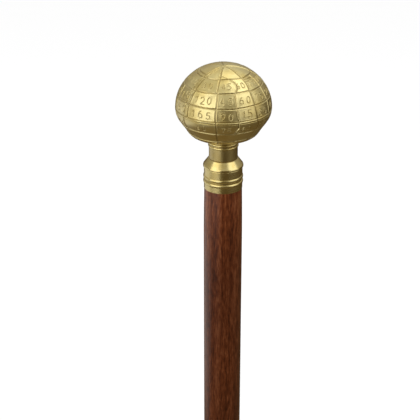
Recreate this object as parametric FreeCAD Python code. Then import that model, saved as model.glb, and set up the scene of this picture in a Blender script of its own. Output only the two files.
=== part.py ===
import FreeCAD, Part
import math
import os

# A walking stick with a turned wooden shaft, a grooved brass collar, and a hollow brass globe knob
# that unscrews. It stands upright on +Z with the middle of its rubber tip on the origin, in millimetres.
# The side that faces -Y is the front: the engraved lines of longitude are counted from it.

# Whole stick
overall_length = 914.0

# Fits
braze_gap = 0.03
glue_gap = 0.05
thread_gap = 0.06
stud_pass_gap = 0.3
joint_line_gap = 0.1
overrun = 1.0

# Tip: a black rubber plug in a brass tube whose slimmer stem is let into the foot of the shaft
rubber_exposed = 11.4
rubber_edge_round = 1.6
tip_tube_radius = 6.72
tip_tube_wall = 1.0
tip_tube_exposed = 16.1
tip_tube_edge_break = 0.4
tip_stem_radius = 6.2
tip_stem_length = 20.0
tip_seat_height = 1.2

# Shaft: radii from the collar down to the bullet-shaped nose at the foot
shaft_top_radius = 12.4
shaft_swell_radius = 12.8
shaft_swell_depth = 38.0
shaft_nose_radius = 11.25
shaft_foot_radius = 7.5
shaft_nose_length = 46.0
tenon_radius = 10.6
swell_steps = 3
taper_steps = 7
taper_power = 3
nose_shares = ((0.352, 0.21), (0.598, 0.38), (0.837, 0.60), (0.955, 0.79))

# Collar: a brass cup over the shaft's tenon, with two turned beads
collar_height = 15.0
collar_band_radius = 12.6
collar_bead_radius = 13.05
collar_bead_height = 2.3
collar_low_bead = 4.95
collar_high_bead = 8.3
collar_groove_radius = 12.2
collar_top_wall = 3.5
collar_edge_break = 0.35

# Thread: a steel stud and the brass insert that it screws into
stud_radius = 5.0
stud_end_break = 0.8
stud_engagement = 15.0
insert_radius = 8.0
insert_spare = 0.5
pilot_depth = 3.0

# Bevelled ring at the foot of the knob
bevel_height = 5.8
bevel_radius = 13.15
bevel_rim_height = 2.2
bevel_rim_round = 0.5
bevel_top_radius = 9.75

# Neck, with two beads under the globe
neck_height = 13.3
neck_radius = 9.15
neck_foot_cove = 0.4
neck_low_bead_radius = 9.6
neck_high_bead_radius = 9.9
neck_bead_height = 1.45
neck_bead_land = 0.85
spigot_radius = 7.6
spigot_short = 0.4

# Globe: two brass shells, brazed edge to edge over a hidden band
globe_width = 61.5
globe_wall = 2.2
cap_rise = 28.3
bowl_drop = 21.1
seam_drop = 1.2
seam_step = 0.12
bowl_side_round = 15.0
bowl_under_round = 8.0
bowl_cone_slope = math.radians(52.5)
joint_band_height = 8.0
joint_band_wall = 1.5
band_seat_bite = 0.3
dome_steps = 8

# Threaded boss inside the globe
boss_radius = 8.6
boss_flange_radius = 12.0
boss_flange_height = 2.0
boss_height = 16.0
boss_spigot_radius = 7.2
boss_spigot_length = 5.0
stud_top_spare = 1.5

# Engraved map lines: parallels by angle over the widest plane, meridians by angle from the front
groove_width = 0.7
groove_depth = 0.32
cap_parallels = (57.0, 37.0, 18.0)
bowl_parallel_drops_share = (0.38, 0.70)
full_meridians = (-53.0, -9.5, 40.0, 90.0, 140.0, 190.0, 240.0)
double_line_meridian = -46.0
middle_meridians = (65.0, 165.0, 265.0)
short_meridians = (15.6, 115.0, 215.0, 285.0)
full_meridian_top = 84.0
double_line_top = 72.0
middle_meridian_top = 57.0
short_meridian_top = 37.0
meridian_foot_drop_share = 0.85

# Heights that follow from the sizes above
globe_radius = globe_width / 2
wood_foot = rubber_exposed + tip_tube_exposed
knob_length = bevel_height + neck_height + bowl_drop + cap_rise
wood_top = overall_length - knob_length - joint_line_gap - collar_height
collar_top = wood_top + collar_height
bevel_foot = collar_top + joint_line_gap
neck_foot = bevel_foot + bevel_height
globe_foot = neck_foot + neck_height
globe_middle = globe_foot + bowl_drop
seam_height = globe_middle - seam_drop
tenon_top = collar_top - collar_top_wall - glue_gap
stud_foot = tenon_top - stud_engagement
insert_foot = stud_foot - insert_spare
boss_top = globe_foot + globe_wall + boss_flange_height + boss_height
tip_tube_bore = tip_tube_radius - tip_tube_wall
tip_stem_bore = tip_stem_radius - tip_tube_wall
tip_stem_top = wood_foot + tip_stem_length
rubber_seat = wood_foot - tip_seat_height
beyond_globe = globe_radius + overrun

ORIGIN = FreeCAD.Vector(0, 0, 0)
UPWARDS = FreeCAD.Vector(0, 0, 1)
FULL_TURN = 360.0
FRONT_ANGLE = -90.0
# Turned outlines start at this angle, which is clear of every engraved meridian
OUTLINE_ANGLE = 12.5


def at(radius, height):
    """A point of a turned outline."""
    return FreeCAD.Vector(radius, 0, height)


def run(*points):
    """Straight edges from point to point."""
    return [Part.LineSegment(a, b).toShape() for a, b in zip(points, points[1:])]


def arc(start, middle, end):
    """One round edge through three points."""
    return Part.Arc(start, middle, end).toShape()


def smooth(points):
    """One smooth edge through the points."""
    curve = Part.BSplineCurve()
    curve.interpolate(points)
    return curve.toShape()


def turned(edges):
    """The solid that a closed outline sweeps about the stick's axis."""
    face = Part.Face(Part.Wire(Part.sortEdges(edges)[0]))
    solid = face.revolve(ORIGIN, UPWARDS, FULL_TURN)
    return solid.rotate(ORIGIN, UPWARDS, OUTLINE_ANGLE)


def rod(radius, foot, top):
    """A plain cylinder on the axis."""
    return Part.makeCylinder(radius, top - foot, at(0, foot))


def bead(base_low, base_high, low, high, crest):
    """A half-round bead between two heights of an outline."""
    return arc(at(base_low, low), at(crest, (low + high) / 2), at(base_high, high))


def rubber_plug():
    """Rubber rod with a rounded ground edge, pushed up the brass tube to its inner step."""
    radius = tip_tube_bore - braze_gap
    top = rubber_seat - braze_gap
    flat = radius - rubber_edge_round
    slant = rubber_edge_round * math.sin(math.pi / 4)
    corner = at(flat + slant, rubber_edge_round - slant)
    edges = run(at(radius, rubber_edge_round), at(radius, top), at(0, top), ORIGIN, at(flat, 0))
    return turned(edges + [arc(at(flat, 0), corner, at(radius, rubber_edge_round))])


def tip_tube():
    """Brass tube with a shoulder under the wood, a stem in the wood, and a step over the rubber."""
    tube_foot = rubber_exposed
    outer_foot = at(tip_tube_radius - tip_tube_edge_break, tube_foot)
    outer_break = at(tip_tube_radius, tube_foot + tip_tube_edge_break)
    shoulder = [at(tip_tube_radius, wood_foot), at(tip_stem_radius, wood_foot)]
    stem = [at(tip_stem_radius, tip_stem_top), at(tip_stem_bore, tip_stem_top)]
    step = [at(tip_stem_bore, rubber_seat), at(tip_tube_bore, rubber_seat)]
    bore_foot = at(tip_tube_bore, tube_foot)
    return turned(run(outer_foot, outer_break, *shoulder, *stem, *step, bore_foot, outer_foot))


def swell_points():
    """Points where the wood swells below the collar."""
    points = []
    for step in range(swell_steps):
        down = step / swell_steps
        swell = (shaft_swell_radius - shaft_top_radius) * math.sin(down * math.pi / 2)
        points.append(at(shaft_top_radius + swell, wood_top - shaft_swell_depth * down))
    return points


def taper_points():
    """Points of the long taper, from the swell down to the nose."""
    taper_top = wood_top - shaft_swell_depth
    taper_length = taper_top - wood_foot - shaft_nose_length
    points = []
    for step in range(taper_steps):
        down = step / taper_steps
        narrowing = (shaft_swell_radius - shaft_nose_radius) * down ** taper_power
        points.append(at(shaft_swell_radius - narrowing, taper_top - taper_length * down))
    return points


def nose_points():
    """Points of the bullet nose, from its wide end down to the foot."""
    nose_top = wood_foot + shaft_nose_length
    narrowing = shaft_nose_radius - shaft_foot_radius
    points = [at(shaft_nose_radius, nose_top)]
    for down, inward in nose_shares:
        points.append(at(shaft_nose_radius - narrowing * inward, nose_top - shaft_nose_length * down))
    points.append(at(shaft_foot_radius, wood_foot))
    return points


def shaft():
    """Wooden shaft: tenon at the top, slight swell, long taper, nose, and a bore at each end."""
    edges = [smooth(swell_points() + taper_points() + nose_points())]
    edges += run(at(shaft_foot_radius, wood_foot), at(0, wood_foot), at(0, tenon_top), at(tenon_radius, tenon_top),
                 at(tenon_radius, wood_top), at(shaft_top_radius, wood_top))
    body = turned(edges)
    body = body.cut(rod(tip_stem_radius + glue_gap, wood_foot - overrun, tip_stem_top + glue_gap))
    body = body.cut(rod(insert_radius + glue_gap, insert_foot, tenon_top + overrun))
    return body.cut(rod(stud_radius + stud_pass_gap, insert_foot - pilot_depth, insert_foot + overrun))


def collar_bead(middle, base_low, base_high):
    """One bead of the collar, centred on a height over the wood's top."""
    low = wood_top + middle - collar_bead_height / 2
    high = low + collar_bead_height
    return bead(base_low, base_high, low, high, collar_bead_radius)


def shaft_collar():
    """Brass cup on the tenon: a band, two beads with a groove between them, and an upper band."""
    half_bead = collar_bead_height / 2
    low_bead_foot = wood_top + collar_low_bead - half_bead
    low_bead_top = wood_top + collar_low_bead + half_bead
    high_bead_foot = wood_top + collar_high_bead - half_bead
    high_bead_top = wood_top + collar_high_bead + half_bead
    bore = tenon_radius + glue_gap
    roof = collar_top - collar_top_wall
    passage = stud_radius + stud_pass_gap
    foot = run(at(bore, wood_top), at(collar_band_radius, wood_top), at(collar_band_radius, low_bead_foot))
    beads = [collar_bead(collar_low_bead, collar_band_radius, collar_groove_radius)]
    beads += run(at(collar_groove_radius, low_bead_top), at(collar_groove_radius, high_bead_foot))
    beads += [collar_bead(collar_high_bead, collar_groove_radius, collar_band_radius)]
    upper_break = at(collar_band_radius, collar_top - collar_edge_break)
    top_break = at(collar_band_radius - collar_edge_break, collar_top)
    head = run(at(collar_band_radius, high_bead_top), upper_break, top_break, at(passage, collar_top))
    inside = run(at(passage, collar_top), at(passage, roof), at(bore, roof), at(bore, wood_top))
    return turned(foot + beads + head + inside)


def thread_insert():
    """Brass bush in the top of the shaft, which the stud screws into."""
    return rod(insert_radius, insert_foot, tenon_top).cut(
        rod(stud_radius + thread_gap, insert_foot - overrun, tenon_top + overrun))


def tie_stud():
    """Steel stud with broken ends."""
    top = boss_top - stud_top_spare
    slim = stud_radius - stud_end_break
    foot_break = at(stud_radius, stud_foot + stud_end_break)
    top_break = at(stud_radius, top - stud_end_break)
    return turned(run(at(0, stud_foot), at(slim, stud_foot), foot_break, top_break, at(slim, top), at(0, top),
                      at(0, stud_foot)))


def bevel_ring():
    """Ring with a short upright rim and a wide bevel, at the foot of the knob."""
    bore = spigot_radius + braze_gap
    rim_top = bevel_foot + bevel_rim_height
    top = bevel_foot + bevel_height
    fall = (bevel_height - bevel_rim_height) / (bevel_radius - bevel_top_radius)
    slope_length = math.hypot(1, fall)
    after_round = at(bevel_radius - bevel_rim_round / slope_length, rim_top + bevel_rim_round * fall / slope_length)
    before_round = at(bevel_radius, rim_top - bevel_rim_round)
    edges = run(after_round, at(bevel_top_radius, top), at(bore, top), at(bore, bevel_foot),
                at(bevel_radius, bevel_foot), before_round)
    middle = (before_round + after_round + at(bevel_radius, rim_top) * 2) * 0.25
    return turned(edges + [arc(before_round, middle, after_round)])


def neck_sleeve():
    """Turned neck: spigot through the ring, plain barrel, two beads, and a socket for the boss."""
    passage = stud_radius + stud_pass_gap
    socket = boss_spigot_radius + braze_gap
    socket_foot = globe_foot - boss_spigot_length - braze_gap
    spigot_foot = bevel_foot + spigot_short
    high_foot = globe_foot - neck_bead_height
    low_top = high_foot - neck_bead_land
    low_foot = low_top - neck_bead_height
    cove_top = at(neck_radius, neck_foot + neck_foot_cove)
    edges = run(at(passage, spigot_foot), at(spigot_radius, spigot_foot), at(spigot_radius, neck_foot),
                at(neck_radius - neck_foot_cove, neck_foot), cove_top, at(neck_radius, low_foot))
    edges += [bead(neck_radius, neck_radius, low_foot, low_top, neck_low_bead_radius)]
    edges += run(at(neck_radius, low_top), at(neck_radius, high_foot))
    edges += [bead(neck_radius, neck_radius, high_foot, globe_foot, neck_high_bead_radius)]
    edges += run(at(neck_radius, globe_foot), at(socket, globe_foot), at(socket, socket_foot),
                 at(passage, socket_foot), at(passage, spigot_foot))
    return turned(edges)


def stud_boss():
    """Threaded boss: spigot through the bowl into the neck, flange on the bowl's floor, tall body."""
    floor = globe_foot + globe_wall
    flange_top = floor + boss_flange_height
    spigot_foot = globe_foot - boss_spigot_length
    bore = stud_radius + thread_gap
    return turned(run(at(bore, spigot_foot), at(boss_spigot_radius, spigot_foot), at(boss_spigot_radius, floor),
                      at(boss_flange_radius, floor), at(boss_flange_radius, flange_top),
                      at(boss_radius, flange_top), at(boss_radius, boss_top), at(bore, boss_top),
                      at(bore, spigot_foot)))


def dome_point(inset, angle):
    """A point of the cap's round, by its angle over the widest plane."""
    rise = (cap_rise - inset) * math.sin(angle)
    return at((globe_radius - inset) * math.cos(angle), globe_middle + rise)


def dome_edge(inset, rise):
    """The cap's round from a height over the widest plane up to the pole, drawn in by the inset."""
    lowest = math.asin(rise / (cap_rise - inset))
    angles = [lowest + (math.pi / 2 - lowest) * step / dome_steps for step in range(dome_steps + 1)]
    points = [dome_point(inset, angle) for angle in angles]
    points[-1] = at(0, globe_middle + cap_rise - inset)
    across = at(-(globe_radius - inset) * math.sin(lowest), (cap_rise - inset) * math.cos(lowest))
    curve = Part.BSplineCurve()
    curve.interpolate(Points=points, InitialTangent=across, FinalTangent=at(inset - globe_radius, 0))
    return curve.toShape()


def bowl_corner_points():
    """Where the bowl's side round meets its cone, and where its cone meets the under round."""
    lean = math.pi / 2 - bowl_cone_slope
    side_end = at(globe_radius - bowl_side_round * (1 - math.cos(lean)), -bowl_side_round * math.sin(lean))
    under_start_height = -bowl_drop + bowl_under_round * (1 - math.cos(bowl_cone_slope))
    cone_run = (side_end.z - under_start_height) / math.tan(bowl_cone_slope)
    return side_end, at(side_end.x - cone_run, under_start_height)


def on_bowl_side(inset, angle):
    """A point of the bowl's side round, by its angle under the widest plane."""
    radius = bowl_side_round - inset
    centre = at(globe_radius - bowl_side_round, globe_middle)
    return centre + at(radius * math.cos(angle), -radius * math.sin(angle))


def on_bowl_under(inset, angle):
    """A point of the bowl's under round, by its angle from straight down."""
    radius = bowl_under_round - inset
    under_start = bowl_corner_points()[1]
    reach = bowl_under_round * math.sin(bowl_cone_slope)
    centre = at(under_start.x - reach, globe_middle + bowl_under_round - bowl_drop)
    return centre + at(radius * math.sin(angle), -radius * math.cos(angle))


def bowl_edges(inset, drop):
    """The bowl's outline from its flat floor up to a depth under the widest plane: round, cone, round."""
    lean = math.pi / 2 - bowl_cone_slope
    highest = math.asin(drop / (bowl_side_round - inset))
    under = [on_bowl_under(inset, bowl_cone_slope * share) for share in (0, 0.5, 1)]
    side = [on_bowl_side(inset, lean + (highest - lean) * share) for share in (0, 0.5, 1)]
    return [arc(*under)] + run(under[-1], side[0]) + [arc(*side)]


def globe_solid(inset):
    """The whole globe as one solid, drawn in by the inset."""
    floor_edge = on_bowl_under(inset, 0)
    pole = at(0, globe_middle + cap_rise - inset)
    return turned([dome_edge(inset, 0)] + bowl_edges(inset, 0) + run(pole, at(0, floor_edge.z), floor_edge))


def parallel_groove(radius, height):
    """A ring-shaped cutter for one engraved parallel."""
    return Part.makeTorus(radius, groove_depth, at(0, height)).rotate(ORIGIN, UPWARDS, OUTLINE_ANGLE)


def cap_parallel_grooves():
    """Cutters for the parallels on the cap."""
    cutters = []
    for angle in cap_parallels:
        radius = globe_radius * math.cos(math.radians(angle))
        cutters.append(parallel_groove(radius, globe_middle + cap_rise * math.sin(math.radians(angle))))
    return cutters


def bowl_radius_at(drop):
    """The bowl's outer radius at a depth under the widest plane."""
    side_end, under_start = bowl_corner_points()
    if drop <= -side_end.z:
        return globe_radius - bowl_side_round + math.sqrt(bowl_side_round ** 2 - drop ** 2)
    return side_end.x - (drop + side_end.z) / math.tan(bowl_cone_slope)


def bowl_parallel_grooves():
    """Cutters for the parallels on the bowl."""
    drops = [bowl_drop * share for share in bowl_parallel_drops_share]
    return [parallel_groove(bowl_radius_at(drop), globe_middle - drop) for drop in drops]


def meridian_groove(angle, top_angle, core):
    """A thin upright cutter that scores the globe's skin along one meridian, in to a parallel's radius."""
    foot = globe_middle - bowl_drop * meridian_foot_drop_share
    height = overall_length + overrun - foot
    inner = globe_radius * math.cos(math.radians(top_angle))
    corner = FreeCAD.Vector(inner, -groove_width / 2, foot)
    blade = Part.makeBox(beyond_globe - inner, groove_width, height, corner)
    blade.rotate(ORIGIN, UPWARDS, angle + FRONT_ANGLE)
    return blade.cut(core)


def meridian_grooves():
    """Cutters for all meridians."""
    core = globe_solid(groove_depth)
    cutters = [meridian_groove(angle, full_meridian_top, core) for angle in full_meridians]
    cutters += [meridian_groove(double_line_meridian, double_line_top, core)]
    cutters += [meridian_groove(angle, middle_meridian_top, core) for angle in middle_meridians]
    return cutters + [meridian_groove(angle, short_meridian_top, core) for angle in short_meridians]


def scored(shell, cutters):
    """The shell with each groove cut in turn, because the grooves cross each other."""
    for cutter in cutters:
        shell = shell.cut(cutter)
    return shell


def globe_cap(meridians):
    """Upper shell, with a bored seat for the hidden band and engraved lines."""
    seat = globe_radius - globe_wall + band_seat_bite
    seat_top = seam_height + joint_band_height / 2
    inner_pole = at(0, globe_middle + cap_rise - globe_wall)
    inner_foot = dome_point(globe_wall, math.asin((seat_top - globe_middle) / (cap_rise - globe_wall)))
    side = [on_bowl_side(0, math.asin(seam_drop / bowl_side_round) * share) for share in (0, 0.5, 1)]
    edges = [dome_edge(0, 0), arc(*side), dome_edge(globe_wall, seat_top - globe_middle)]
    edges += run(side[-1], at(seat, seam_height), at(seat, seat_top), inner_foot)
    edges += run(inner_pole, at(0, globe_middle + cap_rise))
    return scored(turned(edges), cap_parallel_grooves() + meridians)


def globe_bowl(meridians):
    """Lower shell, a hair smaller at the seam, with a hole for the boss and engraved lines."""
    seat = globe_radius - globe_wall + band_seat_bite
    seat_foot = seam_height - joint_band_height / 2
    hole = boss_spigot_radius + braze_gap
    outer_drop = seam_drop + seam_step
    inner_drop = globe_middle - seat_foot
    outer_top = on_bowl_side(0, math.asin(outer_drop / bowl_side_round))
    inner_top = on_bowl_side(globe_wall, math.asin(inner_drop / (bowl_side_round - globe_wall)))
    edges = bowl_edges(0, outer_drop) + bowl_edges(globe_wall, inner_drop)
    edges += run(outer_top, at(outer_top.x - seam_step, seam_height), at(seat, seam_height),
                 at(seat, seat_foot), at(inner_top.x, seat_foot))
    edges += run(on_bowl_under(globe_wall, 0), at(hole, globe_foot + globe_wall), at(hole, globe_foot),
                 on_bowl_under(0, 0))
    return scored(turned(edges), bowl_parallel_grooves() + meridians)


def joint_band():
    """Hidden brass band that lines up the two shells."""
    outer = globe_radius - globe_wall + band_seat_bite - braze_gap
    foot = seam_height - joint_band_height / 2 + braze_gap
    top = seam_height + joint_band_height / 2 - braze_gap
    return rod(outer, foot, top).cut(rod(outer - joint_band_wall, foot - overrun, top + overrun))


def sub_parts():
    """Every piece of the stick by name."""
    meridians = meridian_grooves()
    return {
        "rubber_plug": rubber_plug(),
        "tip_tube": tip_tube(),
        "shaft": shaft(),
        "shaft_collar": shaft_collar(),
        "thread_insert": thread_insert(),
        "tie_stud": tie_stud(),
        "bevel_ring": bevel_ring(),
        "neck_sleeve": neck_sleeve(),
        "stud_boss": stud_boss(),
        "globe_bowl": globe_bowl(meridians),
        "globe_cap": globe_cap(meridians),
        "joint_band": joint_band(),
    }


os.makedirs("parts", exist_ok=True)
for name, shape in sub_parts().items():
    box = shape.BoundBox
    print(f"{name}: {len(shape.Solids)} solid, valid {shape.isValid()}, volume {shape.Volume:.1f}, "
          f"height {box.ZMin:.2f} to {box.ZMax:.2f}, radius {box.XMax:.2f}")
    shape.exportStep(os.path.join("parts", name + ".step"))
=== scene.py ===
"""Dresses the knob handle walking stick: engraved globe, turned brass fittings, varnished shaft and tip."""
import logging
import math
import random
from dataclasses import dataclass
from enum import Enum
from typing import Callable, Sequence, Union

import bmesh
import bpy
import numpy as np
from mathutils import Matrix, Vector
from mathutils.kdtree import KDTree


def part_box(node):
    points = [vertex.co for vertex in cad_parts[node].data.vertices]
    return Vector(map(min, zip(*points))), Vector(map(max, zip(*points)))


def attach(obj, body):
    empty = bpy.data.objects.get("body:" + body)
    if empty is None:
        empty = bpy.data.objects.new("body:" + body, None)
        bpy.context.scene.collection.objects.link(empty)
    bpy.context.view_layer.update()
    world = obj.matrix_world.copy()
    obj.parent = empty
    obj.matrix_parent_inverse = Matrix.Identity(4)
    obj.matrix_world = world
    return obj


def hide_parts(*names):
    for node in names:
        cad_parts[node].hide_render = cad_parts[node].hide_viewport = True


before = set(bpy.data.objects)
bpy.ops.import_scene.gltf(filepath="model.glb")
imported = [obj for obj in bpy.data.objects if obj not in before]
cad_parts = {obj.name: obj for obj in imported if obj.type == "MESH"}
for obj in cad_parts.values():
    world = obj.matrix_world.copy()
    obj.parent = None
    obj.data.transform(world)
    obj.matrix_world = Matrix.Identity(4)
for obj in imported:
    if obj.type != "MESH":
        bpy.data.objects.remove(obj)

LOG = logging.getLogger("walking_stick")

MM = 0.001
POLE_RADIUS = 0.001 * MM
MERGE_REACH = 0.004 * MM
CUT_REACH = 0.0001 * MM
SMOOTH_ANGLE = math.radians(38)
SEAM_DROP = 1.2 * MM

Ring = tuple[float, float]
MapPoint = tuple[float, float]
Stroke = list[MapPoint]
Colour = tuple[float, float, float]
Stops = Sequence[tuple[float, Colour]]


class Body(Enum):
    """The moving bodies of the stick."""

    STICK = "stick"
    STUD = "stud"
    KNOB = "knob"


class Slot(Enum):
    """The record's material slots."""

    GLOBE = "globe_brass"
    FITTINGS = "fittings_brass"
    HIDDEN = "hidden_brass"
    STUD = "stud_steel"
    WOOD = "shaft_wood"
    RUBBER = "tip_rubber"


class Half(Enum):
    """Which half of a bisected skin stays."""

    UPPER = "upper"
    LOWER = "lower"


# Node painting


class Signal:
    """A socket of a node tree, or a plain number, that adds Math nodes when it is used in a sum."""

    def __init__(self, paint: "Paint", source: Union[bpy.types.NodeSocket, float]) -> None:
        """Wraps an output socket or a number, for the paint whose tree gets the Math nodes."""
        self.paint = paint
        self.source = source

    def _with(self, operation: str, first: "Operand", second: "Operand") -> "Signal":
        """The result of one Math node on two values."""
        node = self.paint.node("ShaderNodeMath", {"operation": operation}, {0: first, 1: second})
        return Signal(self.paint, node.outputs[0])

    def __add__(self, other: "Operand") -> "Signal":
        """This plus the other."""
        return self._with("ADD", self, other)

    def __radd__(self, other: "Operand") -> "Signal":
        """The other plus this."""
        return self._with("ADD", other, self)

    def __sub__(self, other: "Operand") -> "Signal":
        """This less the other."""
        return self._with("SUBTRACT", self, other)

    def __rsub__(self, other: "Operand") -> "Signal":
        """The other less this."""
        return self._with("SUBTRACT", other, self)

    def __mul__(self, other: "Operand") -> "Signal":
        """This times the other."""
        return self._with("MULTIPLY", self, other)

    def __rmul__(self, other: "Operand") -> "Signal":
        """The other times this."""
        return self._with("MULTIPLY", other, self)

    def __pow__(self, other: "Operand") -> "Signal":
        """This to the power of the other."""
        return self._with("POWER", self, other)


Operand = Union[Signal, float]
Settable = Union[Signal, bpy.types.NodeSocket, float, Sequence[float]]
Sockets = dict[Union[int, str], Settable]


class Paint:
    """One node tree, of a material or of the world, and the ways to add to it."""

    def __init__(self, owner: Union[bpy.types.Material, bpy.types.World]) -> None:
        """Empties the owner's node tree.

        Args:
            owner: The material or world that is painted.
        """
        owner.use_nodes = True
        self.owner = owner
        self.tree = owner.node_tree
        self.tree.nodes.clear()

    def node(self, kind: str, settings: dict[str, object], sockets: Sockets) -> bpy.types.Node:
        """Adds a node.

        Args:
            kind: The node's type.
            settings: Its properties, set first. The stops of a colour ramp go under "stops".
            sockets: Values or links of its input sockets, by name or number.

        Returns:
            The node.
        """
        node = self.tree.nodes.new(kind)
        for name, value in settings.items():
            if name == "stops":
                self._set_stops(node, value)
            else:
                setattr(node, name, value)
        for name, value in sockets.items():
            source = value.source if isinstance(value, Signal) else value
            if isinstance(source, bpy.types.NodeSocket):
                self.tree.links.new(source, node.inputs[name])
            else:
                node.inputs[name].default_value = source
        return node

    @staticmethod
    def _set_stops(node: bpy.types.Node, stops: Stops) -> None:
        """Fills a colour ramp.

        Args:
            node: The ColorRamp node.
            stops: Each stop's place and colour.
        """
        elements = node.color_ramp.elements
        while len(elements) < len(stops):
            elements.new(0.5)
        for element, (place, colour) in zip(elements, stops):
            element.position = place
            element.color = (*colour, 1.0)

    def signal(self, node: bpy.types.Node, output: Union[int, str] = 0) -> Signal:
        """A node's output as a signal."""
        return Signal(self, node.outputs[output])

    def place(self) -> Signal:
        """The shaded point in the object's own coordinates, in metres."""
        return self.signal(self.node("ShaderNodeTexCoord", {}, {}), "Object")

    def split(self, vector: Signal) -> tuple[Signal, Signal, Signal]:
        """The x, y and z of a vector."""
        node = self.node("ShaderNodeSeparateXYZ", {}, {0: vector})
        return self.signal(node, 0), self.signal(node, 1), self.signal(node, 2)

    def stretched(self, vector: Signal, scale: Colour, shift: Colour = (0.0, 0.0, 0.0)) -> Signal:
        """A vector scaled along each axis and then shifted."""
        sockets = {"Vector": vector, "Scale": scale, "Location": shift}
        return self.signal(self.node("ShaderNodeMapping", {}, sockets))

    def noise(self, vector: Signal, scale: float, detail: float = 3.0, roughness: float = 0.5,
              distortion: float = 0.0) -> Signal:
        """Soft noise from 0 to 1.

        Args:
            vector: Where it is read.
            scale: Features per metre of the vector.
            detail: Octaves.
            roughness: Weight of the finer octaves.
            distortion: How far it is warped.

        Returns:
            The noise.
        """
        sockets = {"Vector": vector, "Scale": scale, "Detail": detail, "Roughness": roughness,
                   "Distortion": distortion}
        return self.signal(self.node("ShaderNodeTexNoise", {"noise_dimensions": "3D"}, sockets))

    def eased(self, value: Signal, low: float, high: float) -> Signal:
        """Eases from 0 where the value is low to 1 where it is high."""
        sockets = {"Value": value, "From Min": low, "From Max": high}
        return self.signal(self.node("ShaderNodeMapRange", {"interpolation_type": "SMOOTHSTEP"}, sockets))

    def ramp(self, value: Signal, stops: Stops) -> Signal:
        """The colour of a ramp at a value."""
        return self.signal(self.node("ShaderNodeValToRGB", {"stops": stops}, {"Fac": value}))

    def blend(self, share: Signal, first: Settable, second: Settable) -> Signal:
        """Mixes two colours.

        Args:
            share: The second colour's share.
            first: The first colour, a signal or a plain colour.
            second: The second colour.

        Returns:
            The mixed colour.
        """
        first = (*first, 1.0) if isinstance(first, tuple) else first
        second = (*second, 1.0) if isinstance(second, tuple) else second
        node = self.node("ShaderNodeMix", {"data_type": "RGBA"}, {0: share, 6: first, 7: second})
        return self.signal(node, 2)

    def tinted(self, share: Signal, colour: Signal, tint: Colour) -> Signal:
        """A colour multiplied by a share of a tint."""
        settings = {"data_type": "RGBA", "blend_type": "MULTIPLY"}
        return self.signal(self.node("ShaderNodeMix", settings, {0: share, 6: colour, 7: (*tint, 1.0)}), 2)

    def attribute(self, name: str) -> Signal:
        """A number that the mesh holds at each vertex."""
        return self.signal(self.node("ShaderNodeAttribute", {"attribute_name": name}, {}), "Fac")

    def bump(self, height: Signal, distance: float, strength: float) -> Signal:
        """The normal bumped by a height of 0 to 1, of which 1 stands for the distance in metres."""
        sockets = {"Height": height, "Distance": distance, "Strength": strength}
        return self.signal(self.node("ShaderNodeBump", {}, sockets), "Normal")

    def surface(self, sockets: Sockets) -> bpy.types.Material:
        """Ends the tree in a Principled shader.

        Args:
            sockets: The shader's values and links.

        Returns:
            The finished material.
        """
        shader = self.node("ShaderNodeBsdfPrincipled", {}, sockets)
        self.node("ShaderNodeOutputMaterial", {}, {"Surface": shader.outputs[0]})
        return self.owner


def new_paint(name: str) -> Paint:
    """A paint on a new material of that name."""
    return Paint(bpy.data.materials.new(name))


# Finishes


@dataclass(frozen=True)
class EngravedBrass:
    """Cast and polished brass with tarnish in its engraved lines."""

    clean: Colour = (0.84, 0.72, 0.33)
    worn: Colour = (0.76, 0.61, 0.22)
    tarnish: Colour = (0.26, 0.17, 0.04)
    line_tarnish: float = 0.48
    cloud_tarnish: float = 0.14
    cloud_scale: float = 85.0
    pit_scale: float = 2600.0
    pit_depth: float = 0.012 * MM
    lacquer: float = 0.8
    lacquer_roughness: float = 0.3
    roughness: float = 0.34

    def material(self) -> bpy.types.Material:
        """Paints the globe's brass.

        Returns:
            The material.
        """
        paint = new_paint("engraved_brass")
        place = paint.place()
        clouds = paint.noise(place, self.cloud_scale, 3.0, 0.55)
        pits = paint.noise(place, self.pit_scale, 2.0, 0.6)
        line = paint.attribute("engraving")
        colour = paint.blend(paint.eased(clouds, 0.42, 0.68), self.clean, self.worn)
        dirt = line * self.line_tarnish + paint.eased(clouds, 0.62, 0.85) * self.cloud_tarnish
        colour = paint.blend(dirt, colour, self.tarnish)
        roughness = clouds * 0.12 + pits * 0.05 + line * 0.12 + (self.roughness - 0.06)
        return paint.surface({"Base Color": colour, "Metallic": 1.0, "Roughness": roughness,
                              "Coat Weight": self.lacquer, "Coat Roughness": self.lacquer_roughness,
                              "Normal": paint.bump(pits, self.pit_depth, 0.6)})


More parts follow.
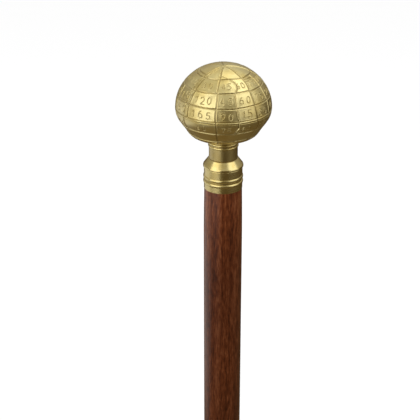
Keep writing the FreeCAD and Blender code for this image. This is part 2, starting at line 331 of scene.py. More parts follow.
@dataclass(frozen=True)
class TurnedBrass:
    """Lathe-turned brass: fine rings round the axis and tarnish where the radius is small."""

    name: str
    recess_radius: float
    band_radius: float
    clean: Colour = (0.83, 0.70, 0.31)
    worn: Colour = (0.74, 0.58, 0.20)
    tarnish: Colour = (0.26, 0.17, 0.04)
    recess_tarnish: float = 0.5
    cloud_scale: float = 140.0
    ring_scale: Colour = (60.0, 60.0, 5200.0)
    ring_depth: float = 0.006 * MM
    lacquer: float = 0.7
    lacquer_roughness: float = 0.25
    roughness: float = 0.27

    def material(self) -> bpy.types.Material:
        """Paints one turned fitting.

        Returns:
            The material.
        """
        paint = new_paint(self.name)
        place = paint.place()
        x, y, _ = paint.split(place)
        radius = (x * x + y * y) ** 0.5
        recess = 1.0 - paint.eased(radius, self.recess_radius, self.band_radius)
        clouds = paint.noise(place, self.cloud_scale, 3.0, 0.5)
        rings = paint.noise(paint.stretched(place, self.ring_scale), 1.0, 2.0, 0.6)
        colour = paint.blend(paint.eased(clouds, 0.40, 0.70), self.clean, self.worn)
        colour = paint.blend(recess * self.recess_tarnish, colour, self.tarnish)
        roughness = rings * 0.10 + clouds * 0.08 + recess * 0.10 + (self.roughness - 0.08)
        return paint.surface({"Base Color": colour, "Metallic": 1.0, "Roughness": roughness,
                              "Coat Weight": self.lacquer, "Coat Roughness": self.lacquer_roughness,
                              "Normal": paint.bump(rings, self.ring_depth, 0.5)})


@dataclass(frozen=True)
class MachinedMetal:
    """Plain machined metal with fine rings, for what the knob hides."""

    name: str
    colour: Colour
    shade: Colour
    roughness: float
    cloud_scale: float = 220.0
    ring_scale: Colour = (80.0, 80.0, 3500.0)
    ring_depth: float = 0.008 * MM

    def material(self) -> bpy.types.Material:
        """Paints a hidden fitting.

        Returns:
            The material.
        """
        paint = new_paint(self.name)
        place = paint.place()
        rings = paint.noise(paint.stretched(place, self.ring_scale), 1.0, 2.0, 0.6)
        clouds = paint.noise(place, self.cloud_scale, 2.0, 0.5)
        colour = paint.blend(paint.eased(clouds, 0.35, 0.75), self.colour, self.shade)
        roughness = rings * 0.12 + clouds * 0.08 + (self.roughness - 0.1)
        return paint.surface({"Base Color": colour, "Metallic": 1.0, "Roughness": roughness,
                              "Normal": paint.bump(rings, self.ring_depth, 0.5)})


@dataclass(frozen=True)
class VarnishedWood:
    """Reddish brown hardwood under satin varnish: stripes, short flecks, pores and one knot, and painted
    shade that darkens it below the top.
    """

    dark: Colour = (0.080, 0.015, 0.003)
    middle: Colour = (0.205, 0.048, 0.012)
    light: Colour = (0.400, 0.135, 0.050)
    # Tint of the painted shade that darkens the shaft below its top, where less light falls.
    shade: Colour = (0.50, 0.44, 0.42)
    drift_scale: Colour = (45.0, 45.0, 14.0)
    stripe_scale: Colour = (260.0, 260.0, 9.0)
    fleck_scale: Colour = (950.0, 950.0, 150.0)
    pore_scale: Colour = (2300.0, 2300.0, 170.0)
    pore_shift: Colour = (3.0, 7.0, 1.0)
    pore_depth: float = 0.025 * MM
    varnish: float = 0.5
    varnish_roughness: float = 0.25
    specular: float = 0.25
    # Heights over which the painted shade fades out towards the top of the shaft.
    warm_zone: tuple[float, float] = (765.0 * MM, 812.0 * MM)
    knot: Colour = (0.022, 0.009, 0.006)
    knot_place: tuple[float, float, float] = (-12.5 * MM, 0.0, 809.0 * MM)
    knot_size: tuple[float, float, float] = (5.0 * MM, 4.5 * MM, 11.0 * MM)

    def material(self) -> bpy.types.Material:
        """Paints the shaft.

        Returns:
            The material.
        """
        paint = new_paint("varnished_wood")
        place = paint.place()
        drift = paint.noise(paint.stretched(place, self.drift_scale), 1.0, 2.0, 0.5)
        stripes = paint.noise(paint.stretched(place, self.stripe_scale), 1.0, 3.0, 0.55, 0.25)
        flecks = paint.noise(paint.stretched(place, self.fleck_scale), 1.0, 3.0, 0.65, 0.25)
        pores = paint.noise(paint.stretched(place, self.pore_scale, self.pore_shift), 1.0, 1.0, 0.5)
        tone = flecks * 0.55 + stripes * 0.35 + drift * 0.15 - 0.025
        colour = paint.ramp(tone, ((0.38, self.dark), (0.50, self.middle), (0.64, self.light)))
        # Painted shade: the wood is darkened below the top of the shaft, more in some patches of the slow
        # drift than in others.
        _, _, height = paint.split(place)
        shaded = 1.0 - paint.eased(height + (drift - 0.5) * 0.12, *self.warm_zone)
        shaded = shaded * (paint.eased(drift, 0.30, 0.62) * 0.6 + 0.4)
        colour = paint.tinted(shaded, colour, self.shade)
        pore = paint.eased(pores, 0.60, 0.72)
        colour = paint.blend(pore * 0.45, colour, self.dark)
        scale = tuple(1.0 / size for size in self.knot_size)
        shift = tuple(-middle / size for middle, size in zip(self.knot_place, self.knot_size))
        to_knot = paint.node("ShaderNodeVectorMath", {"operation": "LENGTH"},
                             {0: paint.stretched(place, scale, shift)})
        near_knot = 1.0 - paint.eased(paint.signal(to_knot, "Value") + stripes * 0.6, 0.75, 1.35)
        colour = paint.blend(near_knot * 0.9, colour, self.knot)
        roughness = flecks * 0.12 + pore * 0.12 + 0.30
        relief = flecks * 0.4 - pore
        return paint.surface({"Base Color": colour, "Roughness": roughness,
                              "Specular IOR Level": self.specular, "Coat Weight": self.varnish,
                              "Coat Roughness": self.varnish_roughness,
                              "Normal": paint.bump(relief, self.pore_depth, 0.5)})


@dataclass(frozen=True)
class TipRubber:
    """Matte black rubber, greyer where it has walked."""

    black: Colour = (0.016, 0.015, 0.014)
    scuffed: Colour = (0.075, 0.070, 0.064)
    scuff_top: float = 3.0 * MM
    grain_scale: float = 1800.0
    patch_scale: float = 300.0
    grain_depth: float = 0.03 * MM

    def material(self) -> bpy.types.Material:
        """Paints the rubber plug.

        Returns:
            The material.
        """
        paint = new_paint("tip_rubber")
        place = paint.place()
        grain = paint.noise(place, self.grain_scale, 3.0, 0.6)
        patches = paint.noise(place, self.patch_scale, 3.0, 0.55)
        _, _, height = paint.split(place)
        low = 1.0 - paint.eased(height, 0.0, self.scuff_top)
        scuff = paint.eased(patches + low * 0.30, 0.55, 0.85)
        colour = paint.blend(scuff * 0.7, self.black, self.scuffed)
        return paint.surface({"Base Color": colour, "Roughness": grain * 0.15 + 0.62,
                              "Normal": paint.bump(grain, self.grain_depth, 0.6)})


# Modelling with Blender's operators


def apply_modifiers(piece: bpy.types.Object) -> None:
    """Applies each modifier of a piece, in order.

    Args:
        piece: The piece, which becomes the active object.
    """
    bpy.context.view_layer.objects.active = piece
    for modifier in list(piece.modifiers):
        bpy.ops.object.modifier_apply(modifier=modifier.name)


def select_only(*pieces: bpy.types.Object) -> None:
    """Selects these pieces alone, and makes the first one active."""
    bpy.ops.object.select_all(action="DESELECT")
    for piece in pieces:
        piece.select_set(True)
    bpy.context.view_layer.objects.active = pieces[0]


def pick_faces(piece: bpy.types.Object, wanted: Callable[[bmesh.types.BMFace], bool]) -> None:
    """Selects the wanted faces of the piece in edit mode, and no others.

    Args:
        piece: The piece, which is in edit mode.
        wanted: Says of a face whether it is wanted.
    """
    bpy.ops.mesh.select_mode(type="FACE")
    edit = bmesh.from_edit_mesh(piece.data)
    for face in edit.faces:
        face.select_set(wanted(face))
    edit.select_flush_mode()
    bmesh.update_edit_mesh(piece.data)


def pick_edges(piece: bpy.types.Object, wanted: Callable[[bmesh.types.BMEdge], bool]) -> None:
    """Selects the wanted edges of the piece in edit mode, and no others.

    Args:
        piece: The piece, which is in edit mode.
        wanted: Says of an edge whether it is wanted.
    """
    bpy.ops.mesh.select_mode(type="EDGE")
    edit = bmesh.from_edit_mesh(piece.data)
    for edge in edit.edges:
        edge.select_set(False)
    for edge in edit.edges:
        if wanted(edge):
            edge.select_set(True)
    bmesh.update_edit_mesh(piece.data)


def close_up(piece: bpy.types.Object) -> None:
    """Merges doubles, turns the faces outwards and shades the piece, which is in edit mode.

    Args:
        piece: The piece.
    """
    bpy.ops.mesh.select_all(action="SELECT")
    bpy.ops.mesh.remove_doubles(threshold=MERGE_REACH)
    bpy.ops.mesh.normals_make_consistent(inside=False)
    bpy.ops.object.mode_set(mode="OBJECT")
    select_only(piece)
    bpy.ops.object.shade_smooth_by_angle(angle=SMOOTH_ANGLE)


def turn(name: str, rings: Sequence[Ring], segments: int) -> bpy.types.Object:
    """Turns a piece: a circle at the first ring, extruded and resized ring by ring along an outline.

    Args:
        name: The piece's name.
        rings: Radius and height of each ring. The last one meets the first, or both are on the axis.
        segments: Vertices round each ring.

    Returns:
        The piece.
    """
    bpy.ops.object.select_all(action="DESELECT")
    radius, height = rings[0]
    start = max(radius, POLE_RADIUS)
    bpy.ops.mesh.primitive_circle_add(vertices=segments, radius=start, location=(0, 0, height))
    piece = bpy.context.object
    piece.name = name
    bpy.ops.object.transform_apply(location=True, rotation=False, scale=False)
    bpy.ops.object.mode_set(mode="EDIT")
    bpy.ops.mesh.select_all(action="SELECT")
    for (radius, height), (next_radius, next_height) in zip(rings, rings[1:]):
        growth = max(next_radius, POLE_RADIUS) / max(radius, POLE_RADIUS)
        bpy.ops.mesh.extrude_edges_move(TRANSFORM_OT_translate={"value": (0, 0, next_height - height)})
        bpy.ops.transform.resize(value=(growth, growth, 1), center_override=(0, 0, next_height))
    close_up(piece)
    return piece


def eased(corners: Sequence[tuple[float, float, float]], steps: int = 4) -> list[Ring]:
    """Rounds the corners of an outline, with a ring beside each rounding that keeps the long faces flat.

    Args:
        corners: Radius and height of each corner, and how far from it the rounding starts.
        steps: Pieces of each rounding.

    Returns:
        The rings of the rounded outline.
    """
    longest_share = 0.45
    ring_beside = 0.1
    rings = [corners[0][:2]]
    for before, corner, after in zip(corners, corners[1:], corners[2:]):
        here = Vector(corner[:2])
        arms = [Vector(other[:2]) - here for other in (before, after)]
        if corner[2] == 0:
            rings.append(corner[:2])
            continue
        start, end = (here + arm.normalized() * min(corner[2], arm.length * longest_share) for arm in arms)
        rings.append(tuple(start + (start - here) * ring_beside))
        for step in range(steps + 1):
            share = step / steps
            rings.append(tuple(start.lerp(here, share).lerp(here.lerp(end, share), share)))
        rings.append(tuple(end + (end - here) * ring_beside))
    rings.append(corners[-1][:2])
    return rings


def bead(low: Ring, high: Ring, crest: float, steps: int = 12) -> list[Ring]:
    """A half-round bead between two rings.

    Args:
        low: The ring at the bead's foot.
        high: The ring at its top.
        crest: Its largest radius.
        steps: Pieces of the round.

    Returns:
        The bead's rings, with both ends.
    """
    rings = []
    for step in range(steps + 1):
        angle = math.pi * step / steps
        share = (1 - math.cos(angle)) / 2
        base = low[0] + (high[0] - low[0]) * share
        rings.append((base + (crest - base) * math.sin(angle), low[1] + (high[1] - low[1]) * share))
    return rings


def finished(piece: bpy.types.Object, material: bpy.types.Material, body: Body, slot: Slot,
             node: str) -> None:
    """Dresses a piece, puts it on its body and lets it stand for its CAD node.

    Args:
        piece: The piece.
        material: Its material.
        body: The body that it rides on.
        slot: The record's material slot, not used.
        node: The CAD node that it replaces.
    """
    piece.data.materials.clear()
    piece.data.materials.append(material)
    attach(piece, body.value)
    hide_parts(node)
    triangles = sum(len(face.vertices) - 2 for face in piece.data.polygons)
    LOG.info("%s: %d triangles on %s", piece.name, triangles, body.value)


# The globe and its map


def curve(middle: MapPoint, radii: MapPoint, start: float, end: float) -> Stroke:
    """Points along part of an ellipse.

    Args:
        middle: Its middle.
        radii: Its half width and half height.
        start: The first angle, in degrees.
        end: The last angle.

    Returns:
        The points, about 15 degrees apart.
    """
    steps = max(2, round(abs(end - start) / 15))
    angles = [math.radians(start + (end - start) * step / steps) for step in range(steps + 1)]
    return [(middle[0] + radii[0] * math.cos(angle), middle[1] + radii[1] * math.sin(angle))
            for angle in angles]


# The strokes of each numeral, which is one unit high
NUMERALS: dict[str, list[Stroke]] = {
    "0": [curve((0.30, 0.50), (0.27, 0.50), 0, 360)],
    "1": [[(0.12, 0.76), (0.34, 1.0), (0.34, 0.0)]],
    "2": [curve((0.30, 0.71), (0.27, 0.29), 165, -35) + [(0.03, 0.0), (0.60, 0.0)]],
    "3": [curve((0.28, 0.75), (0.24, 0.25), 150, -90) + curve((0.28, 0.26), (0.29, 0.26), 90, -150)],
    "4": [[(0.44, 0.0), (0.44, 1.0), (0.0, 0.30), (0.60, 0.30)]],
    "5": [[(0.54, 1.0), (0.12, 1.0), (0.07, 0.55)] + curve((0.27, 0.31), (0.30, 0.31), 115, -150)],
    "6": [curve((0.30, 0.28), (0.27, 0.28), 0, 360), curve((0.62, 0.30), (0.59, 0.70), 180, 110)],
    "7": [[(0.02, 1.0), (0.58, 1.0), (0.20, 0.0)]],
    "8": [curve((0.30, 0.75), (0.22, 0.25), 0, 360), curve((0.30, 0.26), (0.28, 0.26), 0, 360)],
    "9": [curve((0.30, 0.72), (0.27, 0.28), 0, 360), curve((-0.02, 0.70), (0.59, 0.70), 0, -70)],
}


@dataclass
class GlobeForm:
    """The globe's outer shape: a flattened dome over a steep cone and a shallow one, with rounds between.

    Latitude runs from 90 degrees at the pole to 0 at the widest plane, and on to -90 at the middle of
    the flat underside, where it counts length along the outline.
    """

    middle: float
    rise: float
    drop: float
    radius: float = 30.75 * MM
    side_round: float = 12.2 * MM
    under_round: float = 7.5 * MM
    cone_slope: float = math.radians(56.0)
    low_slope: float = math.radians(19.8)
    flat_radius: float = 11.4 * MM

    def __post_init__(self) -> None:
        """Works out how long the bowl's two cones are, and the rounds at their upper ends."""
        steep, low = self.cone_slope, self.low_slope
        lean = math.pi / 2 - steep
        self.side_length = self.side_round * lean
        self.under_length = self.under_round * (steep - low)
        across = self.radius - self.side_round * (1 - math.cos(lean)) - self.flat_radius
        across -= self.under_round * (math.sin(steep) - math.sin(low))
        down = self.drop - self.side_round * math.sin(lean)
        down -= self.under_round * (math.cos(low) - math.cos(steep))
        self.cone_length = (down * math.cos(low) - across * math.sin(low)) / math.sin(steep - low)
        self.low_length = (across * math.sin(steep) - down * math.cos(steep)) / math.sin(steep - low)
        self.bowl_length = (self.side_length + self.cone_length + self.under_length + self.low_length
                            + self.flat_radius)

    def outline(self, latitude: np.ndarray) -> tuple[np.ndarray, np.ndarray]:
        """The outline at each latitude.

        Args:
            latitude: Latitudes in degrees.

        Returns:
            The radii, and the heights over the widest plane.
        """
        angle = np.radians(np.maximum(latitude, 0))
        length = np.maximum(-latitude, 0) / 90 * self.bowl_length
        steep, shallow = self.cone_slope, self.low_slope
        side = np.minimum(length, self.side_length) / self.side_round
        length = length - self.side_length
        cone = np.clip(length, 0, self.cone_length)
        length = length - self.cone_length
        under = steep - np.clip(length, 0, self.under_length) / self.under_round
        length = length - self.under_length
        low = np.clip(length, 0, self.low_length)
        flat = np.maximum(length - self.low_length, 0)
        inward = self.side_round * (1 - np.cos(side)) + cone * math.cos(steep)
        inward += self.under_round * (math.sin(steep) - np.sin(under)) + low * math.cos(shallow) + flat
        downward = self.side_round * np.sin(side) + cone * math.sin(steep)
        downward += self.under_round * (np.cos(under) - math.cos(steep)) + low * math.sin(shallow)
        radius = np.where(latitude >= 0, self.radius * np.cos(angle), self.radius - inward)
        height = np.where(latitude >= 0, self.rise * np.sin(angle), -downward)
        return np.maximum(radius, 0), height

    def surface(self, longitude: np.ndarray, latitude: np.ndarray) -> np.ndarray:
        """Points on the globe.

        Args:
            longitude: Degrees from the front, to the right.
            latitude: Degrees.

        Returns:
            One row of x, y and z for each point.
        """
        radius, height = self.outline(latitude)
        turned = np.radians(longitude)
        return np.column_stack((radius * np.sin(turned), -radius * np.cos(turned), height + self.middle))

    def ball(self, longitude: np.ndarray, latitude: np.ndarray) -> np.ndarray:
        """The same points on the plain ball that the skin is subdivided on.

        Args:
            longitude: The points' longitudes in degrees.
            latitude: Their latitudes in degrees.

        Returns:
            Their places, in metres.
        """
        turned, angle = np.radians(longitude), np.radians(latitude)
        flat = np.cos(angle) * self.radius
        return np.column_stack((flat * np.sin(turned), -flat * np.cos(turned),
                                self.radius * np.sin(angle) + self.middle))

    def map_place(self, points: np.ndarray) -> tuple[np.ndarray, np.ndarray]:
        """The longitude and latitude of points on the plain ball.

        Args:
            points: Rows of x, y and z.

        Returns:
            Longitudes and latitudes in degrees.
        """
        away = points - np.array((0, 0, self.middle))
        longitude = np.degrees(np.arctan2(away[:, 0], -away[:, 1]))
        latitude = np.degrees(np.arctan2(away[:, 2], np.hypot(away[:, 0], away[:, 1])))
        return longitude, latitude


@dataclass
class MapLines:
    """The engraved map: wavering lines of longitude and latitude, numerals and made-up coasts.

    A line's points are longitudes and latitudes, and its waver is in degrees.
    """

    form: GlobeForm
    full_meridians: tuple[float, ...] = (-9.5, 90.0, 140.0, 190.0, 240.0)
    middle_meridians: tuple[float, ...] = (65.0, 165.0, 265.0)
    short_meridians: tuple[float, ...] = (115.0, 215.0, 285.0)
    kinked_meridian: tuple[MapPoint, ...] = ((40, 88), (40, 12), (42, 3), (45, -6), (43, -22), (42, -41))
    hooked_meridian: tuple[MapPoint, ...] = ((15.6, 37), (15.8, 18), (17.6, 4), (17.4, -8.5),
                                             (13.5, -16.5), (16, -18), (21, -14), (23, -8.5))
    outer_of_pair: tuple[MapPoint, ...] = ((-48.5, 84), (-49.0, 57), (-50.1, 42), (-51.8, 30), (-53.2, 12),
                                           (-54.0, 0), (-54.3, -41))
    inner_of_pair: tuple[MapPoint, ...] = ((-41.4, 80), (-42.3, 57), (-44.0, 43), (-46.2, 31), (-47.3, 12),
                                           (-47.6, 1))
    bent_walls: tuple[float, ...] = (40.0, 15.6, -48.0)
    parallels: tuple[float, ...] = (57.0, 37.0, 18.0, 0.8, -19.0, -36.1)
    part_parallels: tuple[tuple[MapPoint, ...], ...] = (((40, 54.5), (66, 52)),
                                                      ((-105, 61), (-52, 61.5)))
    near_coast: tuple[MapPoint, ...] = ((14, 56), (20, 51), (22, 45), (17, 38))
    top_coast: tuple[MapPoint, ...] = ((-11, 61), (-2, 62.5), (8, 59))
    far_coasts: tuple[MapPoint, ...] = ((100, 8), (152, 30), (203, 4), (248, 40))
    meridian_waver: float = 0.45
    kinked_waver: float = 0.4
    bent_waver: float = 0.25
    parallel_waver: float = 0.3
    parallel_step: float = 0.45
    line_width: float = 1.20 * MM
    line_depth: float = 0.36 * MM
    pair_width: float = 1.25 * MM
    pair_depth: float = 0.55 * MM
    numeral_width: float = 0.66 * MM
    numeral_depth: float = 0.20 * MM
    numeral_unit: int = 15
    numeral_share: float = 0.74
    pitch_limits: tuple[float, float] = (0.8, 1.2)
    digit_stray: float = 0.06
    digit_drop: float = 0.08
    digit_lean: float = 0.14
    digit_growth: tuple[float, float] = (0.90, 1.06)
    sample_step: float = 0.15 * MM
    pole_shift: float = 0.124
    shift_start: float = 45.0
    seed: int = 11

    def __post_init__(self) -> None:
        """Draws every stroke."""
        self.chance = random.Random(self.seed)
        self.strokes: list[tuple[Stroke, float, float]] = []
        self.draw_meridians()
        self.draw_parallels()
        self.draw_numerals()
        self.draw_coasts()

    def engrave(self, stroke: Sequence[MapPoint], width: float = 0.0, depth: float = 0.0) -> None:
        """Adds one stroke, as wide and deep as the graticule's lines if nothing else is said."""
        self.strokes.append((list(stroke), width or self.line_width, depth or self.line_depth))

    def waver(self, stroke: Sequence[MapPoint], reach: float) -> Stroke:
        """A stroke with the slow waver of a hand-held graver.

        Args:
            stroke: The stroke's corners.
            reach: How far it strays, in degrees.

        Returns:
            The stroke with points every few degrees.
        """
        phases = [self.chance.uniform(0, 2 * math.pi) for _ in range(2)]
        made = []
        travelled = 0.0
        for (west, south), (east, north) in zip(stroke, stroke[1:]):
            length = math.hypot(east - west, north - south)
            steps = max(1, round(length / 3))
            for step in range(steps):
                share = step / steps
                along = travelled + length * share
                stray = [reach * math.sin(along / pace + phase) for pace, phase in zip((5.5, 8.5), phases)]
                longitude = west + (east - west) * share
                latitude = south + (north - south) * share
                widen = 1 / max(0.35, math.cos(math.radians(latitude)))
                upright = abs(north - south) / max(length, 1e-6)
                made.append((longitude + stray[0] * widen * upright, latitude + stray[1] * (1 - upright)))
            travelled += length
        made.append(stroke[-1])
        return made

    def draw_meridians(self) -> None:
        """Draws the lines of longitude, two of which run side by side at the left."""
        for longitude in self.full_meridians:
            self.engrave(self.waver(((longitude, 88), (longitude, -41)), self.meridian_waver))
        self.engrave(self.waver(self.kinked_meridian, self.kinked_waver))
        for longitudes in (self.outer_of_pair, self.inner_of_pair):
            self.engrave(self.waver(longitudes, self.bent_waver), self.pair_width, self.pair_depth)
        for longitude in self.middle_meridians:
            self.engrave(self.waver(((longitude, 57), (longitude, -41)), self.meridian_waver))
        for longitude in self.short_meridians:
            self.engrave(self.waver(((longitude, 37), (longitude, -24)), self.meridian_waver))
        self.engrave(self.waver(self.hooked_meridian, self.bent_waver))
        self.engrave(self.hooked_meridian[2:], self.pair_width, self.pair_depth)

    def cells(self) -> list[tuple[float, float]]:
        """The west and east ends of each cell, from -75 degrees right round.

        Returns:
            Two longitudes for each cell. A bent meridian, or the pair, counts as one straight wall.
        """
        everywhere = self.full_meridians + self.middle_meridians + self.short_meridians + self.bent_walls
        walls = sorted(longitude - 360 if longitude > 270 else longitude for longitude in everywhere)
        return list(zip(walls, walls[1:] + [walls[0] + 360]))

    def draw_parallels(self) -> None:
        """Draws the lines of latitude, cell by cell, so that they meet with small steps."""
        for latitude in self.parallels:
            for west, east in self.cells():
                level = latitude + self.chance.uniform(-self.parallel_step, self.parallel_step)
                self.engrave(self.waver(((west, level), (east, level)), self.parallel_waver))
        for stroke in self.part_parallels:
            self.engrave(self.waver(stroke, self.parallel_waver))

    def draw_numerals(self) -> None:
        """Cuts plain degree numerals into the cells."""
        for index, (west, east) in enumerate(self.cells()):
            span = east - west
            least = 7 if span > 30 else 1
            rows = ((46.5, 3.9 * MM, 1, 0), (27.0, 4.3 * MM, least, 0), (9.0, 4.4 * MM, least, 3),
                    (-10.0, 3.3 * MM, 1, 2))
            for latitude, height, first, ahead in rows:
                number = self.numeral_unit * (first + (index + ahead) % 6)
                self.cut_number(str(number), ((west + east) / 2, latitude), height, span)

    def cut_number(self, number: str, middle: MapPoint, height: float, span: float) -> None:
        """Cuts one number, its digits spread over most of its cell.

        Args:
            number: Its digits.
            middle: The longitude and latitude of its middle.
            height: The digits' height, in metres.
            span: The cell's width in degrees.
        """
        radius = float(self.form.outline(np.array([middle[1]]))[0][0])
        room = self.numeral_share * math.radians(span) * radius / len(number)
        least, most = self.pitch_limits
        pitch = min(most * height, max(least * height, room))
        lat_scale = math.degrees(1 / (0.94 * self.form.radius))
        lon_scale = math.degrees(1 / radius)
        for place, digit in enumerate(number):
            left = (place + 0.5 - len(number) / 2) * pitch
            left += self.chance.uniform(-self.digit_stray, self.digit_stray) * height
            foot = (-0.5 + self.chance.uniform(-self.digit_drop, self.digit_drop)) * height
            lean = self.chance.uniform(-self.digit_lean, self.digit_lean)
            tall = height * self.chance.uniform(*self.digit_growth)
            for stroke in NUMERALS[digit]:
                shaped = [(middle[0] + (left + (across + lean * up - 0.3) * tall) * lon_scale,
                           middle[1] + (foot + up * tall) * lat_scale) for across, up in stroke]
                self.engrave(shaped, self.numeral_width, self.numeral_depth)

    def draw_coasts(self) -> None:
        """Draws short coast lines that belong to no real map."""
        self.engrave(self.waver(self.near_coast, 0.5))
        self.engrave(self.waver(self.top_coast, 0.4), self.numeral_width, self.numeral_depth)
        for west, south in self.far_coasts:
            bend = self.chance.uniform(3, 6)
            coast = ((west, south), (west + bend, south + 5), (west + 4, south + 10),
                     (west + 9, south + 12))
            self.engrave(self.waver(coast, 0.8), self.numeral_width, self.numeral_depth)

    def shifted(self, longitude: np.ndarray, latitude: np.ndarray) -> tuple[np.ndarray, np.ndarray]:
        """Moves the map's pole a little to the front, and what lies round it less and less.

        Args:
            longitude: Longitudes on the map.
            latitude: Latitudes on the map.

        Returns:
            The longitudes and latitudes on the globe.
        """
        turned, angle = np.radians(longitude), np.radians(latitude)
        share = np.clip((latitude - self.shift_start) / (90 - self.shift_start), 0, 1)
        right = np.cos(angle) * np.sin(turned)
        front = np.cos(angle) * np.cos(turned) + self.pole_shift * share ** 1.5
        moved = np.degrees(np.arctan2(np.sin(angle), np.hypot(right, front)))
        near_pole = latitude > self.shift_start
        return (np.where(near_pole, np.degrees(np.arctan2(right, front)), longitude),
                np.where(near_pole, moved, latitude))

    def samples(self, on_form: bool) -> tuple[np.ndarray, np.ndarray]:
        """Points along every stroke.

        Args:
            on_form: True for points on the globe's form, False for points on the plain ball.

        Returns:
            Rows of x, y and z, and the half width and depth of the stroke at each.
        """
        places = []
        sizes = []
        for stroke, width, depth in self.strokes:
            corners = np.array(stroke)
            solid = self.form.surface(corners[:, 0], corners[:, 1])
            lengths = np.linalg.norm(np.diff(solid, axis=0), axis=1)
            along = np.concatenate(([0], np.cumsum(lengths)))
            count = max(2, int(along[-1] / self.sample_step))
            stops = np.linspace(0, along[-1], count)
            longitude, latitude = self.shifted(np.interp(stops, along, corners[:, 0]),
                                               np.interp(stops, along, corners[:, 1]))
            surface = self.form.surface if on_form else self.form.ball
            places.append(surface(longitude, latitude))
            sizes.append(np.tile((width / 2, depth), (count, 1)))
        return np.concatenate(places), np.concatenate(sizes)


def near_search(points: np.ndarray) -> KDTree:
    """A search tree over rows of x, y and z.

    Args:
        points: One row for each point.

    Returns:
        The tree, whose indices are the numbers of the rows.
    """
    tree = KDTree(len(points))
    for index, point in enumerate(points):
        tree.insert(point, index)
    tree.balance()
    return tree


@dataclass
class Globe:
    """The knob's globe: an engraved skin over two hollow shells that meet at a brazed seam."""

    form: GlobeForm
    seam: float
    ball_subdivisions: int = 6
    coarse_reach: float = 1.5 * MM
    line_reach: float = 0.93 * MM
    numeral_reach: float = 0.34 * MM
    wall: float = 2.2 * MM
    dome_steps: int = 14
    bowl_wall: float = 3.0 * MM
    bowl_knees: tuple[Ring, ...] = ((4.0 * MM, 10.5 * MM), (1.4 * MM, 7.0 * MM))
    seat_bite: float = 0.3 * MM
    seat_half_height: float = 4.0 * MM
    seam_ease: float = 0.13 * MM
    hole_radius: float = 7.23 * MM
    floor_cut: float = 0.5 * MM
    joint_reach: float = 0.05 * MM
    lining_segments: int = 96
    unevenness: float = 0.10 * MM
    unevenness_size: float = 9.0 * MM
    burr_height: float = 0.11 * MM
    burr_place: float = 1.2
    burr_width: float = 0.42
    burr_end: float = 2.2
    tarnish_width: float = 0.8
    depth_unit: float = 0.60 * MM

    def build(self) -> None:
        """Models both shells and dresses them."""
        material = EngravedBrass().material()
        lines = MapLines(self.form)
        skin = self.ball_skin(lines)
        self.settle(skin)
        self.engrave(skin, lines)
        upper = self.half_skin(skin, "globe_dome", Half.UPPER)
        lower = self.half_skin(skin, "globe_cone", Half.LOWER)
        bpy.data.objects.remove(skin)
        self.line_cap(upper)
        self.line_bowl(lower)
        finished(upper, material, Body.KNOB, Slot.GLOBE, "globe_cap")
        finished(lower, material, Body.KNOB, Slot.GLOBE, "globe_bowl")

    def ball_skin(self, lines: MapLines) -> bpy.types.Object:
        """An icosphere whose faces are split again and again near the strokes.

        Args:
            lines: The engraved map.

        Returns:
            The skin, still a plain ball.
        """
        points, sizes = lines.samples(on_form=False)
        every = near_search(points)
        fine = near_search(points[sizes[:, 0] < (lines.numeral_width + lines.line_width) / 4])
        bpy.ops.object.select_all(action="DESELECT")
        bpy.ops.mesh.primitive_ico_sphere_add(subdivisions=self.ball_subdivisions, radius=self.form.radius,
                                              location=(0, 0, self.form.middle))
        skin = bpy.context.object
        bpy.ops.object.transform_apply(location=True, rotation=False, scale=False)
        bpy.ops.object.mode_set(mode="EDIT")
        passes = ((every, self.coarse_reach), (every, self.line_reach), (fine, self.numeral_reach))
        for tree, reach in passes:
            pick_faces(skin, lambda face, tree=tree, reach=reach:
                       tree.find(face.calc_center_median())[2] < reach)
            bpy.ops.mesh.subdivide(number_cuts=1)
        bpy.ops.mesh.select_all(action="SELECT")
        bpy.ops.mesh.quads_convert_to_tris()
        bpy.ops.object.mode_set(mode="OBJECT")
        return skin

    def settle(self, skin: bpy.types.Object) -> None:
        """Moves each vertex of the ball to its place on the globe's form.

        Args:
            skin: The ball.
        """
        places = np.empty(len(skin.data.vertices) * 3)
        skin.data.vertices.foreach_get("co", places)
        made = self.form.surface(*self.form.map_place(places.reshape(-1, 3)))
        skin.data.vertices.foreach_set("co", made.ravel())
        skin.data.update()

    def engrave(self, skin: bpy.types.Object, lines: MapLines) -> None:
        """Sinks the strokes, raises their burrs and makes the casting a little uneven.

        Args:
            skin: The skin on its form.
            lines: The engraved map.
        """
        points, sizes = lines.samples(on_form=True)
        tree = near_search(points)
        groove = skin.vertex_groups.new(name="groove")
        burr = skin.vertex_groups.new(name="burr")
        shade = np.zeros(len(skin.data.vertices))
        for vertex in skin.data.vertices:
            _, index, distance = tree.find(vertex.co)
            half_width, depth = sizes[index]
            share = distance / half_width
            if share < 1:
                groove.add([vertex.index], (1 - share * share) ** 2 * depth / self.depth_unit, "REPLACE")
            if share < self.burr_end:
                lift = math.exp(-((share - self.burr_place) / self.burr_width) ** 2)
                burr.add([vertex.index], min(1.0, depth / lines.line_depth) * lift, "REPLACE")
            shade[vertex.index] = math.exp(-(share / self.tarnish_width) ** 2)
        tarnish = skin.data.attributes.new("engraving", "FLOAT", "POINT")
        tarnish.data.foreach_set("value", shade)
        select_only(skin)
        self.add_unevenness(skin)
        for group, reach in ((groove, -self.depth_unit), (burr, self.burr_height)):
            displace = skin.modifiers.new(group.name, "DISPLACE")
            displace.vertex_group = group.name
            displace.mid_level = 0
            displace.strength = reach
        apply_modifiers(skin)
        skin.vertex_groups.clear()

    def add_unevenness(self, skin: bpy.types.Object) -> None:
        """Adds the soft dents and swells of a hand-finished casting.

        Args:
            skin: The globe's skin.
        """
        clouds = bpy.data.textures.new("casting_clouds", "CLOUDS")
        clouds.noise_scale = self.unevenness_size
        displace = skin.modifiers.new("unevenness", "DISPLACE")
        displace.texture = clouds
        displace.texture_coords = "LOCAL"
        displace.mid_level = 0.5
        displace.strength = self.unevenness

